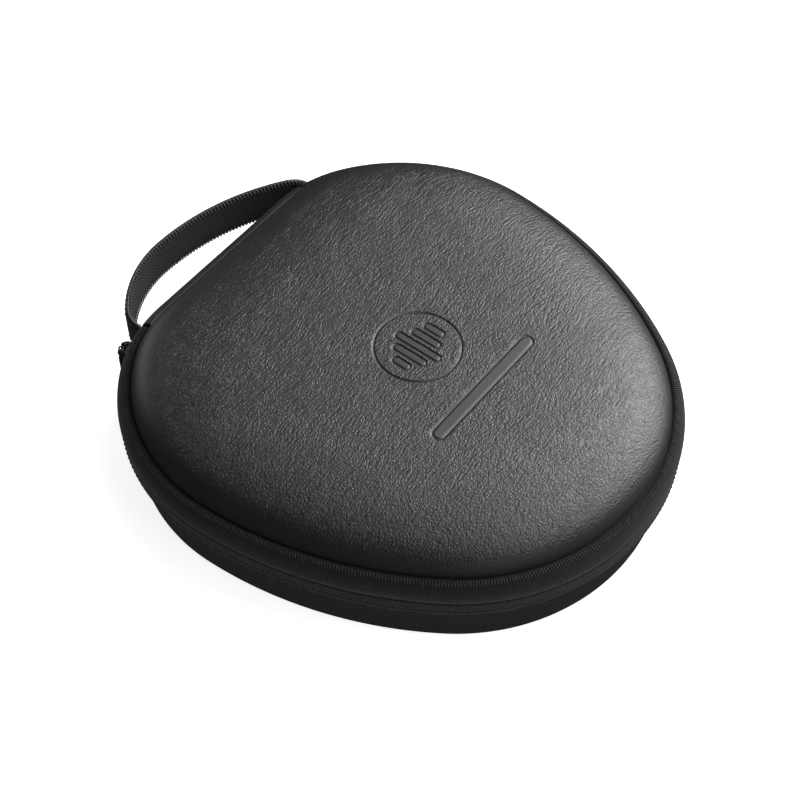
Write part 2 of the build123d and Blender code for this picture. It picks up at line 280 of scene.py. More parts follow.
def smooth_leather(name, dark, light, shine):
    """Calendered leather with a faint grain and soft rubs."""
    g = Graph(name)
    grain = g.ramp(g.cells(g.warp(g.place(), 0.2, 2.0), 1.1), 0.0, 0.35)
    rub = g.noise(g.place(), 0.12, 4.0, 0.6)
    g.relief(g.weigh((rub, 0.7), (grain, 0.3)), 0.10 * MM)
    # Painted shade darkens the faint grain's cell edges; the lighter soft rubs are the leather's own wear.
    g.colour(g.weigh((grain, 0.4), (rub, 0.6)), grey(dark), grey(light))
    g.roughness(rub, shine + 0.10, shine - 0.06)
    return g.material


def knit_tape():
    """Knit zip tape: ribs across it, rows along it, and fuzz."""
    g = Graph("knit_tape", roughness=0.9, specular=0.15, Sheen_Weight=0.06, Sheen_Roughness=0.5)
    uv = g.place(source="UV")
    along, across = g.axis(uv, "X"), g.axis(uv, "Y")
    wobble = g.math("MULTIPLY", g.noise(g.place(), 0.5, 2.0), 1.5)
    ribs = g.wave(g.math("ADD", along, g.math("MULTIPLY", wobble, 0.25)), 1.05)
    rows = g.wave(g.math("ADD", across, g.math("MULTIPLY", ribs, 0.25)), 0.85)
    fuzz = g.noise(g.place(), 3.0, 4.0, 0.7)
    height = g.weigh((fuzz, 0.45), (ribs, 0.4), (rows, 0.3))
    g.relief(height, 0.30 * MM)
    g.colour(height, grey(0.003), grey(0.022))
    return g.material


def brushed_fabric(name, dark, light):
    """Short-napped lining fabric."""
    g = Graph(name, roughness=0.95, specular=0.15, Sheen_Weight=0.6, Sheen_Roughness=0.4)
    nap = g.noise(g.place(), 1.1, 5.0, 0.75)
    cloud = g.noise(g.place(), 0.04, 3.0)
    g.relief(nap, 0.45 * MM)
    g.colour(g.weigh((nap, 0.5), (cloud, 0.5)), grey(dark, 1.05), grey(light, 1.05))
    return g.material


def webbing(name="webbing", pitch=1.0):
    """Fine twill with its wales across the strap."""
    g = Graph(name, roughness=0.85, specular=0.2, Sheen_Weight=0.05, Sheen_Roughness=0.5)
    uv = g.place(source="UV")
    along, across = g.axis(uv, "X"), g.axis(uv, "Y")
    warp = g.wave(g.math("ADD", along, across), pitch)
    weft = g.wave(g.math("SUBTRACT", across, along), pitch * 1.7)
    fibre = g.noise(g.place(), 4.0, 3.0)
    height = g.weigh((fibre, 0.2), (warp, 0.5), (weft, 0.3))
    g.relief(height, 0.40 * MM)
    g.colour(height, grey(0.004), grey(0.05))
    return g.material


def thread(name, dark, light):
    """Twisted polyester thread."""
    g = Graph(name, roughness=0.5, specular=0.5, Sheen_Weight=0.2)
    twist = g.wave(g.axis(g.place(turn=0.6), "X"), 0.35)
    g.relief(twist, 0.08 * MM)
    g.colour(twist, grey(dark), grey(light))
    return g.material


def moulded_foam():
    g = Graph("moulded_foam", roughness=0.9, specular=0.2)
    pores = g.ramp(g.cells(g.place(), 1.6, "F1"), 0.1, 0.6)
    g.relief(pores, 0.12 * MM)
    g.colour(g.weigh((g.noise(g.place(), 0.3), 0.5), (pores, 0.5)), grey(0.012), grey(0.030))
    return g.material


def nylon():
    g = Graph("nylon", roughness=0.35, specular=0.5)
    streak = g.noise(g.place(), 2.5, 3.0)
    g.relief(streak, 0.03 * MM)
    g.colour(streak, grey(0.008), grey(0.022))
    g.roughness(streak, 0.28, 0.5)
    return g.material


def black_metal():
    """Painted zinc, rubbed brighter where it is handled."""
    g = Graph("black_metal", Metallic=0.3, Coat_Weight=0.2, Coat_Roughness=0.3)
    mottle = g.noise(g.place(), 1.2, 5.0, 0.65)
    scratch = g.noise(g.place((0.4, 5.0, 1.0), 0.5), 1.0, 4.0)
    g.relief(g.weigh((mottle, 0.6), (scratch, 0.4)), 0.03 * MM)
    g.colour(g.ramp(mottle, 0.45, 0.75), grey(0.010), grey(0.045))
    g.roughness(scratch, 0.30, 0.52)
    return g.material


def matte_rubber():
    g = Graph("matte_rubber", specular=0.35)
    speck = g.noise(g.place(), 3.5, 4.0, 0.6)
    g.relief(speck, 0.06 * MM)
    g.colour(speck, grey(0.008), grey(0.022))
    g.roughness(speck, 0.50, 0.75)
    return g.material


def open_mesh():
    """Knitted mesh with round holes in a staggered grid."""
    g = Graph("open_mesh", roughness=0.8, specular=0.25, Sheen_Weight=0.3)
    place = g.place()
    across, along = g.axis(place, "X"), g.axis(place, "Y")
    pitch = 2.4
    slant = g.math("MULTIPLY", along, 1 / math.sqrt(3))
    total = g.math("ADD", g.wave(g.math("ADD", across, slant), pitch),
                   g.wave(g.math("SUBTRACT", across, slant), pitch))
    total = g.math("ADD", total, g.wave(g.math("MULTIPLY", along, 2 / math.sqrt(3)), pitch))
    strand = g.ramp(total, 1.55, 1.75, 1.0, 0.0)
    fibre = g.noise(place, 4.0, 3.0)
    g.relief(g.math("MULTIPLY_ADD", fibre, 0.3, strand), 0.2 * MM)
    g.colour(fibre, grey(0.015), grey(0.050))
    g.tree.links.new(strand, g.shader.inputs["Alpha"])
    return g.material


# ---- shape tools

def outline_arcs():
    """Centre, radius, first and last turn of each arc of the right half."""
    arcs, turn, x, y = [], 0.0, HINGE_HALF, BACK
    for radius, sweep_degrees in (*SIDE_ARCS, (None, None)):
        last = math.pi if radius is None else turn + math.radians(sweep_degrees)
        radius = x / math.sin(turn) if radius is None else radius
        centre = (x - radius * math.sin(turn), y - radius * math.cos(turn))
        arcs.append((centre, radius, turn, last))
        x, y, turn = centre[0] + radius * math.sin(last), centre[1] + radius * math.cos(last), last
    return arcs


ARCS = outline_arcs()
AROUND = 2 * (HINGE_HALF + sum(radius * (last - first) for _, radius, first, last in ARCS))
TAPE_START = HINGE_HALF + ARCS[0][1] * math.asin((TAPE_END_X - HINGE_HALF) / ARCS[0][1])


def outline_at(run):
    """Points and outward normals of the outline, at distances along it from the back's middle."""
    run = np.asarray(run, float) % AROUND
    mirrored = run > AROUND / 2
    along = np.where(mirrored, AROUND - run, run)
    x, y = along.copy(), np.full_like(along, BACK)
    nx, ny = np.zeros_like(along), np.ones_like(along)
    start = HINGE_HALF
    for (cx, cy), radius, first, last in ARCS:
        turn = first + (along - start) / radius
        here = along >= start
        x, y = np.where(here, cx + radius * np.sin(turn), x), np.where(here, cy + radius * np.cos(turn), y)
        nx, ny = np.where(here, np.sin(turn), nx), np.where(here, np.cos(turn), ny)
        start += radius * (last - first)
    sign = np.where(mirrored, -1.0, 1.0)
    return np.stack([x * sign, y], -1), np.stack([nx * sign, ny], -1)


def beside_outline(run, inset, height):
    """Points drawn in from the outline by an inset, at a height."""
    points, normals = outline_at(run)
    flat = points - normals * np.broadcast_to(inset, len(points))[:, None]
    return np.concatenate([flat, np.broadcast_to(height, len(points))[:, None]], 1)


def sweep(run, section):
    """Grid of points: a section of (inset, height) carried along the outline."""
    points, normals = outline_at(run)
    section = np.asarray(section, float)
    flat = points[:, None, :] - normals[:, None, :] * section[None, :, 0, None]
    height = np.broadcast_to(section[None, :, 1, None], (*flat.shape[:2], 1))
    return np.concatenate([flat, height], -1)


def unit(vectors):
    return vectors / np.maximum(np.linalg.norm(vectors, axis=-1, keepdims=True), 1e-12)


def run_along(points):
    """Distance along a row of points."""
    steps = np.linalg.norm(np.diff(points, axis=0), axis=1)
    return np.concatenate([[0], np.cumsum(steps)])


def pick(at, length, columns):
    """Columns of values, read off at distances along their row."""
    return np.stack([np.interp(at, length, columns[:, k]) for k in (0, 1)], -1)


def smooth_through(points, count):
    """Evenly spaced points on a soft curve through a few points, in millimetres, as metres."""
    points = np.array(points, float)
    padded = np.vstack([2 * points[0] - points[1], points, 2 * points[-1] - points[-2]])
    dense = []
    for i in range(1, len(padded) - 2):
        p0, p1, p2, p3 = padded[i - 1:i + 3]
        t = np.linspace(0, 1, 24, endpoint=False)[:, None]
        dense.append(0.5 * (2 * p1 + (p2 - p0) * t + (2 * p0 - 5 * p1 + 4 * p2 - p3) * t ** 2
                            + (3 * p1 - p0 - 3 * p2 + p3) * t ** 3))
    dense = np.vstack(dense + [points[-1:]])
    length = run_along(dense)
    return pick(np.linspace(0, length[-1], count), length, dense) * MM


def rounded_loop(outer, thick, corner=6):
    """Closed section: an outer line, its parallel a thickness inside, and round ends."""
    outer = np.asarray(outer, float)
    tangent = unit(np.gradient(outer, axis=0))
    inward = np.stack([tangent[:, 1], -tangent[:, 0]], -1)
    middle = outer + inward * thick / 2
    loop = list(outer)
    for end, sign in ((-1, 1), (0, -1)):
        for step in range(1, corner):
            angle = math.pi * step / corner
            loop.append(middle[end] - inward[end] * math.cos(angle) * thick / 2 * sign
                        + tangent[end] * math.sin(angle) * thick / 2 * sign)
        if end == -1:
            loop.extend((outer + inward * thick)[::-1])
    return np.array(loop)


def surface(name, grid, material, wrap_u=False, wrap_v=False, caps=False):
    """Mesh object from a grid of points, with UVs in metres along and across it."""
    nu, nv = grid.shape[:2]
    iu = np.arange(nu if wrap_u else nu - 1)[:, None]
    iv = np.arange(nv if wrap_v else nv - 1)[None, :]
    ju, jv = (iu + 1) % nu, (iv + 1) % nv
    faces = np.stack([iu * nv + iv, ju * nv + iv, ju * nv + jv, iu * nv + jv], -1).reshape(-1, 4)
    faces = faces.tolist()
    if caps:
        faces += [list(range(nv)), list(range((nu - 1) * nv, nu * nv))]
    mesh = bpy.data.meshes.new(name)
    mesh.from_pydata(grid.reshape(-1, 3).tolist(), [], faces)
    loop_u = np.concatenate([grid, grid[:1]]) if wrap_u else grid
    loop_v = np.concatenate([grid, grid[:, :1]], 1) if wrap_v else grid
    along = np.concatenate([[0], np.cumsum(np.linalg.norm(np.diff(loop_u, axis=0), axis=2).max(1))])
    across = np.concatenate([[0], np.cumsum(np.linalg.norm(np.diff(loop_v, axis=1), axis=2).max(0))])
    corners = [(0, 0), (1, 0), (1, 1), (0, 1)]
    uv = np.stack([np.stack(np.broadcast_arrays(along[iu + du], across[iv + dv]), -1)
                   for du, dv in corners], 2)
    flat = np.zeros((len(mesh.loops), 2))
    flat[:uv.size // 2] = uv.reshape(-1, 2)
    layer = mesh.uv_layers.new(name="UVMap")
    layer.data.foreach_set("uv", flat.ravel())
    return finish_mesh(name, mesh, material)


def turn_outward(mesh, loop=()):
    """Turn all normals outward, after closing a loop of vertices with one face if there is one."""
    work = bmesh.new()
    work.from_mesh(mesh)
    if loop:
        work.verts.ensure_lookup_table()
        work.faces.new([work.verts[i] for i in loop])
    bmesh.ops.recalc_face_normals(work, faces=work.faces)
    work.to_mesh(mesh)
    work.free()
    shade_smooth(mesh)


def shade_smooth(mesh):
    mesh.polygons.foreach_set("use_smooth", [True] * len(mesh.polygons))


def finish_mesh(name, mesh, material):
    """Object from a mesh: normals outward, smooth shading, one material."""
    turn_outward(mesh)
    mesh.materials.append(material)
    return add_object(name, mesh)


def close_hole(piece, grid, column=-1):
    """Close a ring of a surface with one face."""
    nu, nv = grid.shape[:2]
    turn_outward(piece.data, [i * nv + column % nv for i in range(nu)])


def apply_modifiers(piece):
    graph = bpy.context.evaluated_depsgraph_get()
    made = bpy.data.meshes.new_from_object(piece.evaluated_get(graph))
    piece.modifiers.clear()
    piece.data = made


def tube(path, radius, sides=6, closed=False):
    """Grid of points round a path, for surface()."""
    path = np.asarray(path, float)
    tangent = unit((np.roll(path, -1, 0) - np.roll(path, 1, 0)) if closed else np.gradient(path, axis=0))
    side = np.cross(tangent, (0.0, 0.0, 1.0))
    weak = np.linalg.norm(side, axis=1) < 1e-3
    side[weak] = np.cross(tangent[weak], (1.0, 0.0, 0.0))
    side = unit(side)
    up = np.cross(side, tangent)
    angle = np.arange(sides) * 2 * math.pi / sides
    return (path[:, None] + radius * (np.cos(angle)[None, :, None] * side[:, None]
                                      + np.sin(angle)[None, :, None] * up[:, None]))


def strands(name, paths, radius, material, sides=5):
    """Many short threads as one mesh: each path is a row of points, and its ends taper."""
    paths = np.asarray(paths, float)
    count, steps = paths.shape[:2]
    tangent = unit(np.gradient(paths, axis=1))
    side = unit(np.cross(tangent, np.broadcast_to((0.31, 0.52, 0.79), tangent.shape)))
    up = np.cross(side, tangent)
    taper = np.clip(np.sin(np.linspace(0.12, math.pi - 0.12, steps)) * 1.8, 0.25, 1.0) * radius
    angle = np.arange(sides) * 2 * math.pi / sides
    ring = (side[:, :, None] * np.cos(angle)[:, None] + up[:, :, None] * np.sin(angle)[:, None])
    points = paths[:, :, None] + ring * taper[None, :, None, None]
    base = (np.arange(count) * steps * sides)[:, None, None]
    i, k = np.arange(steps - 1)[None, :, None] * sides, np.arange(sides)[None, None, :]
    after = (k + 1) % sides
    faces = np.stack([base + i + k, base + i + after, base + i + sides + after, base + i + sides + k], -1)
    faces = faces.reshape(-1, 4).tolist()
    for first in base.ravel().tolist():
        faces.append(list(range(first, first + sides))[::-1])
        faces.append(list(range(first + (steps - 1) * sides, first + steps * sides)))
    mesh = bpy.data.meshes.new(name)
    mesh.from_pydata(points.reshape(-1, 3).tolist(), [], faces)
    return finish_mesh(name, mesh, material)


def bevelled(node, width, body, slot, material):
    """A CAD node's shape with its edges rounded."""
    piece = add_object(node + "_soft_edged", frame["nodes"][node].data.copy())
    piece.data.materials.clear()
    piece.data.materials.append(material)
    work = bmesh.new()
    work.from_mesh(piece.data)
    bmesh.ops.remove_doubles(work, verts=work.verts, dist=0.01 * MM)
    bmesh.ops.dissolve_limit(work, angle_limit=math.radians(2), verts=work.verts, edges=work.edges)
    work.to_mesh(piece.data)
    work.free()
    modifier = piece.modifiers.new("bevel", "BEVEL")
    modifier.width, modifier.segments, modifier.limit_method = width, 3, "ANGLE"
    modifier.angle_limit, modifier.use_clamp_overlap = math.radians(35), True
    apply_modifiers(piece)
    shade_smooth(piece.data)
    keep(piece, body, slot, node)


def keep(piece, body, slot, *nodes):
    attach(piece, body)
    if nodes:
        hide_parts(*nodes)


def ease(value):
    value = np.clip(value, 0, 1)
    return value * value * (3 - 2 * value)


# ---- lid

CROWN_INSET = 57 * MM              # the swept part of the lid ends here, and a disc closes it
LID_SAMPLES, DISC_RINGS = 840, 190
PRESS_DEPTH, PRESS_HALF = 0.45 * MM, 0.8 * MM
MARK_CENTRE, MARK_R = (0.0, 2.0 * MM), 18.5 * MM
BAR_PITCH, BAR_HALF_WIDTH = 5.6 * MM, 1.7 * MM
BAR_HALF_LENGTHS = [2.6 * MM, 6.6 * MM, 9.8 * MM, 5.4 * MM, 3.2 * MM]
PILL_CENTRE, PILL_HALF, PILL_R = (0.0, -32.0 * MM), 30.0 * MM, 2.9 * MM


def lid_section():
    """Leather's outer face, from its tucked edge in the groove to the level crown."""
    return smooth_through([(7.4, 42.9), (6.4, 43.2), (5.8, 43.9), (5.62, 44.9), (5.85, 46.2), (6.8, 48.4),
                           (8.5, 51.0), (10.8, 53.4), (13.8, 55.3), (18.0, 56.9), (25.0, 58.7), (35.0, 60.2),
                           (46.0, 61.0), (57.0, 61.35)], 190)


def capsule(x, y, centre, half_x, half_y):
    """Distance to a line segment that lies along X or along Y."""
    dx = np.maximum(np.abs(x - centre[0]) - half_x, 0)
    dy = np.maximum(np.abs(y - centre[1]) - half_y, 0)
    return np.hypot(dx, dy)


def press_marks(grid):
    """Press a ring, five level bars and a rounded line into the crown; return the grain's strength."""
    x, y = grid[..., 0], grid[..., 1]
    ring = np.hypot(x - MARK_CENTRE[0], y - MARK_CENTRE[1]) - MARK_R
    shapes = [ring]
    smooth = np.ones_like(x)
    for index, half in enumerate(BAR_HALF_LENGTHS):
        centre = (MARK_CENTRE[0] + (index - 2) * BAR_PITCH, MARK_CENTRE[1])
        shapes.append(capsule(x, y, centre, 0, half) - BAR_HALF_WIDTH)
        smooth = np.minimum(smooth, ease(shapes[-1] / (0.5 * MM)))
    shapes.append(capsule(x, y, PILL_CENTRE, PILL_HALF, 0) - PILL_R)
    smooth = np.minimum(smooth, ease(shapes[-1] / (0.5 * MM)))
    line = np.min(np.abs(shapes), axis=0)
    grid[..., 2] -= PRESS_DEPTH * (1 - ease(line / PRESS_HALF))
    return np.minimum(smooth, ease(line / PRESS_HALF))


def grain_fade(grid, section, turn):
    """Grain strength: none on the lid's side, full on the crown, and later near the hinge."""
    near_hinge = ease((turn + 0.2) / 0.9)
    first = 6.6 * MM + near_hinge * 1.4 * MM
    last = 10.5 * MM + near_hinge * 13.5 * MM
    inset = np.concatenate([section[:, 0], np.full(grid.shape[1] - len(section), 1.0)])
    fade = (inset[None, :] - first[:, None]) / (last - first)[:, None]
    return ease(fade)


def make_lid_cover(material):
    run = np.linspace(0, AROUND, LID_SAMPLES, endpoint=False)
    section = lid_section()
    grid = sweep(run, section)
    edge = grid[:, -1, :]
    shares = np.linspace(0, 1, DISC_RINGS + 2)[1:-1]
    disc = edge[:, None, :] * (1 - shares[None, :, None])
    disc[..., 2] = section[-1, 1] + (LID_TOP - section[-1, 1]) * (1 - (1 - shares) ** 2)[None, :]
    grid = np.concatenate([grid, disc], 1)
    _, normals = outline_at(run)
    grain = grain_fade(grid, section, normals[:, 1]) * press_marks(grid)
    lid = surface("lid_cover_leather", grid, material, wrap_u=True)
    layer = lid.data.attributes.new("grain", "FLOAT", "POINT")
    layer.data.foreach_set("value", grain.ravel())
    close_hole(lid, grid)
    keep(lid, "lid", "lid_leather", "lid_cover")


def tape_run(count, margin=0.0):
    """Distances along the outline that the zip covers, from the right end round the front."""
    return np.linspace(TAPE_START + margin, AROUND - TAPE_START - margin, count)


def sink_ends(grid, run, drop):
    """Round a tape's two ends off by drawing them in."""
    ends = np.minimum(run - run[0], run[-1] - run)
    sink = (1 - ease(ends / (2.6 * MM))) * drop
    _, normals = outline_at(run)
    grid[..., :2] -= (normals * sink[:, None])[:, None, :]
    grid[..., 2] -= np.where(grid[..., 2] > 42 * MM, sink[:, None], 0)


def ribbed(outer, depth, low, high, drop):
    """A tape along the outline: ribbed across between two shares of its face, its ends drawn in."""
    run = tape_run(TAPE_SAMPLES)
    grid = sweep(run, rounded_loop(outer, TAPE_THICK))
    tangent = unit(np.gradient(outer, axis=0))
    share = np.linspace(0, 1, len(outer))
    strength = ease((share - low) / 0.12) * ease((high - share) / 0.06)
    wave = np.abs(np.sin(np.pi * run / RIB_PITCH)) ** 0.7 - 0.6
    wave = wave * (0.8 + 0.2 * np.sin(run / (7.3 * MM)))
    _, normals = outline_at(run)
    lift = wave[:, None] * (strength * depth)[None, :]
    face = slice(0, len(outer))
    grid[:, face, :2] += normals[:, None, :] * (lift * tangent[None, :, 1])[..., None]
    grid[:, face, 2] += lift * tangent[None, :, 0]
    sink_ends(grid, run, drop)
    return grid


RIB_PITCH = 1.25 * MM
RIM_FACE = [(0.35, 35.05), (0.02, 35.35), (-0.35, 36.2), (-0.85, 37.8), (-0.82, 39.6), (-0.2, 41.6),
            (0.9, 43.5), (2.2, 44.9), (3.5, 45.5), (4.4, 45.45), (4.95, 45.0), (5.2, 44.2), (5.25, 43.2)]
TAPE_THICK = 0.9 * MM
TAPE_SAMPLES = 3000


def make_rim_tape(material, yarn):
    """Knit tape from the zip line over the rim into the groove, with ribs where it turns over."""
    grid = ribbed(smooth_through(RIM_FACE, 46), 0.14 * MM, 0.55, 0.95, 1.0 * MM)
    tape = surface("rim_tape", grid, material, wrap_v=True, caps=True)
    keep(tape, "lid", "zip_tape", "upper_zip_tape")
    face = smooth_through(RIM_FACE, 60)[40:50]
    places = np.arange(TAPE_START + 3 * MM, AROUND - TAPE_START - 3 * MM, RIB_PITCH)
    slant = np.linspace(-0.25, 0.25, len(face)) * MM
    run = (places[:, None] + slant[None, :]).ravel()
    inset, height = np.tile(face[:, 0], len(places)), np.tile(face[:, 1], len(places))
    path = beside_outline(run, inset, height + 0.10 * MM).reshape(len(places), len(face), 3)
    ticks = strands("rim_rib_yarn", path, 0.21 * MM, yarn)
    keep(ticks, "lid", "zip_tape")


def make_lower_tape(material, yarn):
    outer = smooth_through([(0.2, 27.3), (-0.35, 27.9), (-0.5, 28.9), (-0.35, 30.8), (-0.2, 32.8),
                            (-0.05, 34.2), (0.3, 34.72)], 26)
    grid = ribbed(outer, 0.06 * MM, 0.3, 0.95, 0.5 * MM)
    tape = surface("lower_tape", grid, material, wrap_v=True, caps=True)
    keep(tape, "base", "zip_tape", "lower_zip_tape")
    keep(tape_stitches(yarn), "base", "zip_tape")


SEAM_COUNT, SEAM_Z, SEAM_INSET = 250, 29.6 * MM, -0.50 * MM
SEAM_STITCH, SEAM_BOW, SEAM_YARN = 1.7 * MM, 0.16 * MM, 0.2 * MM


def tape_stitches(yarn):
    """Short level stitches along the lower tape."""
    places = tape_run(SEAM_COUNT, 3 * MM)
    offsets = np.linspace(-0.5, 0.5, 7)
    run = (places[:, None] + offsets[None, :] * SEAM_STITCH).ravel()
    bow = np.tile(SEAM_BOW * (1 - (2 * offsets) ** 2), len(places))
    path = beside_outline(run, SEAM_INSET - bow, SEAM_Z).reshape(len(places), len(offsets), 3)
    return strands("tape_stitches", path, SEAM_YARN, yarn)


COIL_PITCH, COIL_STEPS = 1.35 * MM, 9
COIL_INSET, COIL_DEPTH, COIL_RISE, COIL_WIRE = 1.85 * MM, 0.68 * MM, 0.27 * MM, 0.2 * MM
COIL_MIDDLE = 0.45 * MM            # above the bottom of its CAD node


def make_coil(name, body, node, phase, material):
    """One row of the zip: a nylon coil sewn along the tape's inner face."""
    length = AROUND - 2 * TAPE_START
    count = int(length / COIL_PITCH) * COIL_STEPS
    run = tape_run(count, 0.5 * MM)
    angle = np.arange(count) * 2 * math.pi / COIL_STEPS + phase
    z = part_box(node)[0].z + COIL_MIDDLE
    path = beside_outline(run, COIL_INSET + COIL_DEPTH * np.cos(angle), z + COIL_RISE * np.sin(angle))
    coil = surface(name, tube(path, COIL_WIRE, 5), material, wrap_v=True, caps=True)
    keep(coil, body, "zip_coil", node)


# ---- base

COVER_SAMPLES, LINING_SAMPLES = 720, 480


def make_base_cover(material):
    """Leather round the base: flat bottom, rounded edge, leaning wall and a turned-in top edge."""
    radius, foot_inset = 6 * MM, 4.4 * MM
    turn = np.linspace(0, math.pi / 2, 14)
    foot = np.stack([foot_inset + radius * (1 - np.sin(turn)), radius * (1 - np.cos(turn))], -1)
    wall = smooth_through([(4.0, 8.0), (3.05, 13.0), (1.8, 19.0), (0.45, 25.0), (-0.12, 27.2), (0.05, 27.95),
                           (0.55, 28.1), (1.1, 27.8)], 36)
    rows = np.array([[CROWN_INSET, 0.0], [40 * MM, 0.0], [25 * MM, 0.0], [12 * MM, 0.0]])
    run = np.linspace(0, AROUND, COVER_SAMPLES, endpoint=False)
    grid = sweep(run, np.vstack([rows, foot, wall]))
    cover = surface("base_cover_leather", grid, material, wrap_u=True)
    close_hole(cover, grid, 0)
    keep(cover, "base", "base_leather", "base_cover")


def lining_grid(wall, rows):
    return sweep(np.linspace(0, AROUND, LINING_SAMPLES, endpoint=False), np.vstack([wall, rows]))


def keep_lining(grid, material, body):
    lining = surface(body + "_lining_fabric", grid, material, wrap_u=True)
    close_hole(lining, grid)
    keep(lining, body, "lining_fabric", body + "_lining")


def make_base_lining(material):
    """Fabric over the inside of the base, in the space of its CAD node."""
    wall = smooth_through([(4.2, 34.25), (4.7, 34.3), (5.0, 33.6), (5.3, 28.0), (6.9, 18.0), (8.4, 10.0),
                           (9.4, 7.2), (11.4, 5.9), (14.5, 5.6)], 44)
    low = FLOOR_OF_BASE + 0.8 * MM
    rows = np.array([[25 * MM, low], [40 * MM, low], [CROWN_INSET, low]])
    grid = lining_grid(wall, rows)
    swell = 0.25 * MM * np.sin(grid[..., 0] / (11 * MM)) * np.sin(grid[..., 1] / (13 * MM))
    grid[..., 2] += swell * (grid[..., 2] < 6 * MM)
    keep_lining(grid, material, "base")


def make_lid_lining(material):
    wall = smooth_through([(5.0, 35.75), (5.55, 35.7), (5.8, 36.4), (6.2, 41.3), (9.6, 45.4), (14.2, 50.9),
                           (18.5, 53.0), (24.5, 54.6), (34.0, 56.1), (46.0, 56.8)], 56)
    keep_lining(lining_grid(wall, [[CROWN_INSET, 57.0 * MM]]), material, "lid")


def rounded_rectangle(half_x, half_y, radius, count):
    """Even points round a rectangle with round corners, in metres."""
    dense = []
    for number, (sx, sy) in enumerate(((1, 1), (-1, 1), (-1, -1), (1, -1))):
        angle = np.linspace(number, number + 1, 24) * math.pi / 2
        dense.append(np.stack([sx * (half_x - radius) + radius * np.cos(angle),
                               sy * (half_y - radius) + radius * np.sin(angle)], -1))
    dense = np.vstack(dense + [dense[0][:1]])
    length = run_along(dense)
    return pick(np.linspace(0, length[-1], count, endpoint=False), length, dense)


def make_divider(material, yarn):
    """Padded block between the ear cups: puffed sides, crowned top and a seam round its top edge."""
    low, high = (np.array(corner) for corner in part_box("cup_divider"))
    middle, half = (low + high) / 2, (high - low) / 2
    ring = rounded_rectangle(half[0] - 0.4 * MM, half[1] - 0.4 * MM, 8.6 * MM, 220)
    spine = np.stack([np.zeros(len(ring)), np.clip(ring[:, 1], -(half[1] - half[0]), half[1] - half[0])], -1)
    tall = high[2] - low[2]
    rows = np.array([(0.97, 0.0), (0.99, 0.06), (1.0, 0.2), (1.012, 0.42), (1.008, 0.6), (0.992, 0.74),
                     (0.965, 0.82), (0.94, 0.865), (0.925, 0.872), (0.905, 0.895), (0.86, 0.925),
                     (0.78, 0.955), (0.66, 0.978), (0.5, 0.992), (0.32, 1.0), (0.16, 1.0), (0.04, 1.0)])
    fine, rise = pick(np.linspace(0, len(rows) - 1, 64), np.arange(len(rows)), rows).T
    flat = spine[:, None, :] + (ring - spine)[:, None, :] * fine[None, :, None]
    pucker = 0.12 * MM * np.sin(np.arange(len(ring)) * 2 * math.pi / 7.5)[:, None]
    height = low[2] + tall * rise[None, :] - pucker * np.exp(-((rise - 0.87) / 0.05) ** 2)[None, :]
    grid = np.concatenate([flat + middle[None, None, :2], height[..., None]], -1)
    pad = surface("divider_pad", grid, material, wrap_u=True)
    close_hole(pad, grid)
    keep(pad, "base", "divider_fabric", "cup_divider")
    path = np.concatenate([spine + (ring - spine) * 0.935 + middle[None, :2],
                           np.full((len(ring), 1), low[2] + tall * 0.885)], 1)
    piping = surface("divider_piping", tube(path, 0.75 * MM, 8, closed=True), yarn, wrap_u=True, wrap_v=True)
    keep(piping, "base", "divider_fabric")


def inset_line(inset):
    """Places along Y of the right half's inset line, in order, with its X and its run there."""
    run = np.linspace(0, AROUND / 2, 2000)
    points, normals = outline_at(run)
    line = points - normals * inset
    order = np.argsort(line[:, 1])
    return line[order, 1], line[order, 0], run[order]


def make_pocket(mesh_cloth, elastic, fabric):
    """Stretched mesh under the lid's ceiling, an elastic binding at its mouth and a sewn edge tape."""
    low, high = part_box("mesh_pocket")
    band_low, band_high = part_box("pocket_binding")
    edge_inset = 12.6 * MM
    back = BACK - edge_inset
    places = low.y + (back - low.y) * (1 - (1 - np.linspace(0, 1, 90)) ** 1.6)
    edge_y, edge_x, edge_run = inset_line(edge_inset)
    half = np.interp(places, edge_y, edge_x)
    across = np.linspace(-1, 1, 161)
    x = half[None, :] * across[:, None]
    y = np.broadcast_to(places, x.shape)
    share = np.clip((places - low.y) / (back - low.y), 0, 1)
    z = (low.z + high.z) / 2 - 0.9 * MM * (1 - across[:, None] ** 2) * np.sin(np.pi * share) ** 0.7
    grid = np.stack([x, y, z], -1)
    net = surface("pocket_net", grid, mesh_cloth)
    keep(net, "lid", "pocket_mesh", "mesh_pocket")
    x = np.linspace(-1, 1, 700)
    middle_y = (band_low.y + band_high.y) / 2
    reach = float(np.interp(middle_y, edge_y, edge_x))
    gather = 0.22 * MM * np.sin(x * reach / (0.62 * MM))
    profile = smooth_through([(-4.4, 0.0), (-4.1, 0.62), (-1.5, 0.72), (1.5, 0.72), (4.1, 0.62), (4.4, 0.0),
                              (4.1, -0.62), (1.5, -0.72), (-1.5, -0.72), (-4.1, -0.62)], 44)
    centre = (band_low.z + band_high.z) / 2
    swell = 1 - np.abs(profile[:, 0]) / (5.5 * MM)
    height = centre + profile[None, :, 1] + gather[:, None] * swell[None, :] * np.sign(profile[None, :, 1])
    grid = np.stack([np.broadcast_to((x * reach)[:, None], height.shape),
                     np.broadcast_to(middle_y + profile[None, :, 0], height.shape), height], -1)
    band = surface("pocket_elastic_band", grid, elastic, wrap_v=True, caps=True)
    keep(band, "lid", "pocket_elastic", "pocket_binding")
    run = np.linspace(-1, 1, 700) * float(np.interp(low.y, edge_y, edge_run))
    path = beside_outline(run, edge_inset - 0.3 * MM, (low.z + high.z) / 2)
    edging = surface("pocket_edge_tape", tube(path, 0.9 * MM, 8), fabric, wrap_v=True, caps=True)
    keep(edging, "lid", "pocket_elastic")


# ---- hinge leather

